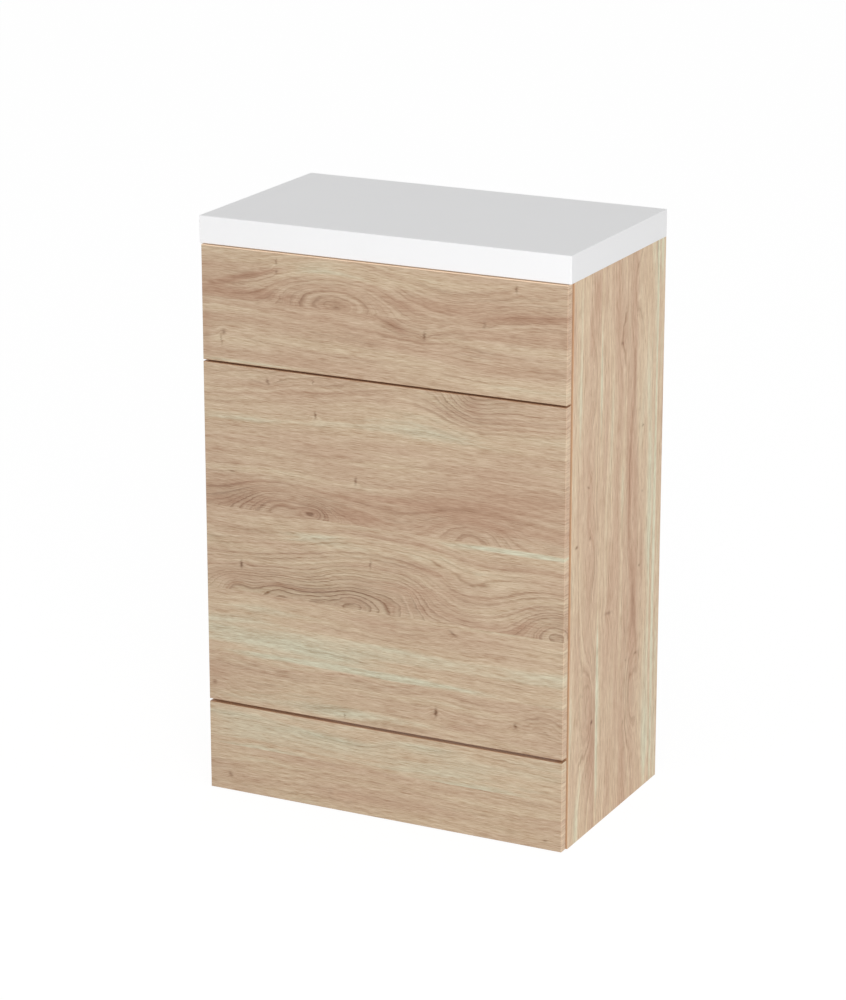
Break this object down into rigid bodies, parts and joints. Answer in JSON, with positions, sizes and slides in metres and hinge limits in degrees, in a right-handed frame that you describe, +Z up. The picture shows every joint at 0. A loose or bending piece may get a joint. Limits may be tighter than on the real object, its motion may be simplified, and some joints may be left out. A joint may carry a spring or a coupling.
{
  "type": "toilet furniture unit",
  "caption": "Floor-standing back-to-wall toilet furniture unit in light oak decor: open back, white lift-off worktop, and a fascia, centre panel and plinth that pull off.",
  "frame": {"origin": "on the floor, in the middle of the unit's width and depth", "axes": "+Z up, -Y out of the front panels towards the pan, +X to the right seen from the front"},
  "size_m": [0.604, 0.355, 0.906],
  "materials": {
    "oak_decor_board": "light oak decor with a fine matt grain, on board",
    "oak_decor_edge": "light oak decor edge band, matt",
    "white_cast_top": "smooth white cast resin, soft satin",
    "zinc_fitting": "die-cast zinc, dull",
    "steel_screw": "bright zinc-plated steel",
    "steel_bracket": "zinc-plated pressed steel",
    "clip_plastic": "white moulded nylon",
    "cap_plastic": "beige moulded cover cap",
    "beech": "bare beech",
    "clear_buffer": "soft clear buffer"
  },
  "bodies": {
    "carcass": {"left_side_panel": "oak_decor_board", "right_side_panel": "oak_decor_board", "left_side_edge_bands": "oak_decor_edge", "right_side_edge_bands": "oak_decor_edge", "top_front_rail": "oak_decor_board", "middle_front_rail": "oak_decor_board", "bottom_front_rail": "oak_decor_board", "top_rear_rail": "oak_decor_board", "bottom_rear_rail": "oak_decor_board", "rail_edge_bands": "oak_decor_edge", "cam_discs": "zinc_fitting", "cam_bolts": "zinc_fitting", "cam_cover_caps": "cap_plastic", "wooden_dowels": "beech", "bumper_pads": "clear_buffer", "fascia_clip_sockets": "clip_plastic", "centre_panel_clip_sockets": "clip_plastic", "plinth_clip_sockets": "clip_plastic", "socket_screws": "steel_screw", "wall_brackets": "steel_bracket", "wall_bracket_screws": "steel_screw"},
    "worktop": {"worktop": "white_cast_top"},
    "fascia": {"top_fascia": "oak_decor_board", "fascia_edge_bands": "oak_decor_edge", "fascia_clip_studs": "clip_plastic", "fascia_stud_screws": "steel_screw"},
    "centre_panel": {"centre_panel": "oak_decor_board", "centre_panel_edge_bands": "oak_decor_edge", "centre_panel_clip_studs": "clip_plastic", "centre_panel_stud_screws": "steel_screw"},
    "plinth": {"plinth_panel": "oak_decor_board", "plinth_edge_bands": "oak_decor_edge", "plinth_clip_studs": "clip_plastic", "plinth_stud_screws": "steel_screw"}
  },
  "joints": [
    {"name": "fascia_pull", "type": "slide", "parent": "carcass", "child": "fascia", "axis": [0, -1, 0], "range_m": [0, 0.06]},
    {"name": "centre_panel_pull", "type": "slide", "parent": "carcass", "child": "centre_panel", "axis": [0, -1, 0], "range_m": [0, 0.06]},
    {"name": "plinth_pull", "type": "slide", "parent": "carcass", "child": "plinth", "axis": [0, -1, 0], "range_m": [0, 0.06]},
    {"name": "worktop_lift", "type": "slide", "parent": "carcass", "child": "worktop", "axis": [0, 0, 1], "range_m": [0, 0.06]}
  ]
}
